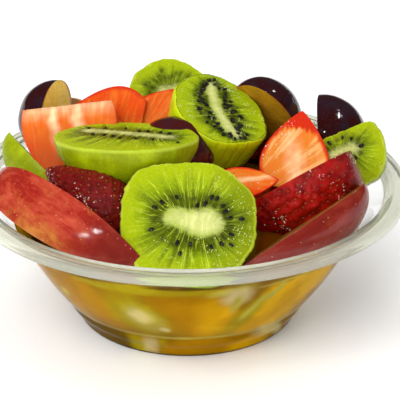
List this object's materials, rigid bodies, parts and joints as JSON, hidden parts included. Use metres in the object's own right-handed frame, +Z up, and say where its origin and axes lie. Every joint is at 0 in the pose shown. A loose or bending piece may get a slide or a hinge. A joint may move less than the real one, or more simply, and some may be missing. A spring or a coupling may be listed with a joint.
{
  "type": "fruit salad",
  "caption": "Fruit salad of kiwi, strawberry, plum and nectarine pieces heaped on soft yellow fruit in a round clear bowl with a wide rim.",
  "frame": {"origin": "middle of the bowl's flat base, at the lowest point", "axes": "+Z up out of the bowl, -Y towards the front kiwi slice, +X to the right seen from the front"},
  "size_m": [0.17, 0.17, 0.0876],
  "materials": {
    "clear_plastic": "clear, glossy",
    "kiwi": "wet green flesh with dark seeds",
    "strawberry": "wet red",
    "plum": "glossy dark purple skin, amber flesh",
    "nectarine": "wet mottled red skin, amber flesh",
    "yellow_fruit": "soft amber chunks in juice"
  },
  "bodies": {
    "root": {"bowl": "clear_plastic", "kiwi_slice_front": "kiwi", "kiwi_half_left": "kiwi", "plum_half_centre": "plum", "kiwi_slab_centre": "kiwi", "strawberry_half_right": "strawberry", "strawberry_half_small": "strawberry", "nectarine_wedge_right": "nectarine", "strawberry_skin_right": "strawberry", "nectarine_wedge_left": "nectarine", "kiwi_slice_right": "kiwi", "strawberry_skin_left": "strawberry", "kiwi_wedge_left": "kiwi", "strawberry_half_left": "strawberry", "strawberry_slice_rear_left": "strawberry", "strawberry_slice_rear_right": "strawberry", "kiwi_slice_rear": "kiwi", "plum_half_rear": "plum", "plum_half_left": "plum", "plum_wedge_right": "plum", "kiwi_slice_back": "kiwi", "strawberry_half_back": "strawberry", "nectarine_wedge_back": "nectarine", "plum_half_back": "plum", "strawberry_skin_back": "strawberry", "bed": "yellow_fruit"}
  },
  "joints": []
}
